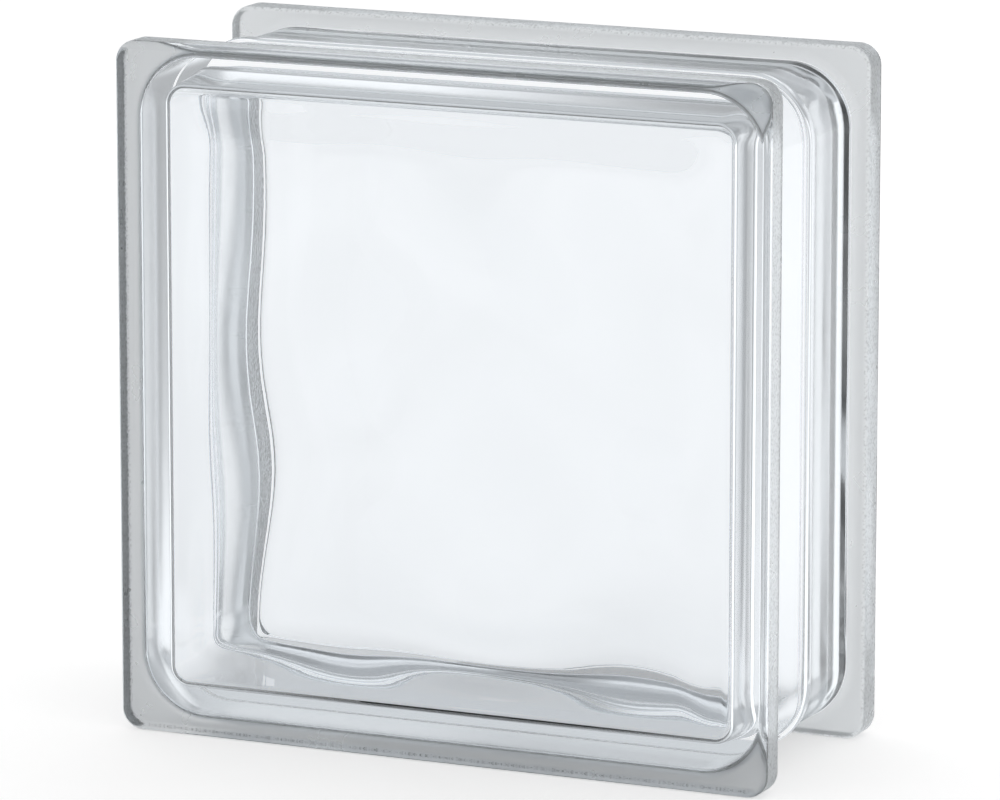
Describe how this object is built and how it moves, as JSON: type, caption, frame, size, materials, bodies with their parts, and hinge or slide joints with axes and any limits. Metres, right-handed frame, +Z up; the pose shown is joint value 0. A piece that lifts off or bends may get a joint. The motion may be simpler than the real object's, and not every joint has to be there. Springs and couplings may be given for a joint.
{
  "type": "glass block",
  "caption": "Hollow square glass block with smooth outer faces, softly waved inner faces and a recessed mortar groove between its flanges, for walls that let light through.",
  "frame": {"origin": "centre of the bottom of the block's box, on the plane that the block stands on", "axes": "+Z up, +X along the width of the face, +Y through the depth from the front face to the rear face"},
  "size_m": [0.19, 0.08, 0.19],
  "materials": {
    "clear_glass": "clear pressed glass, smooth outside and inside, with a rough frosted key on the flange edges"
  },
  "bodies": {
    "root": {"glass_block": "clear_glass"}
  },
  "joints": []
}
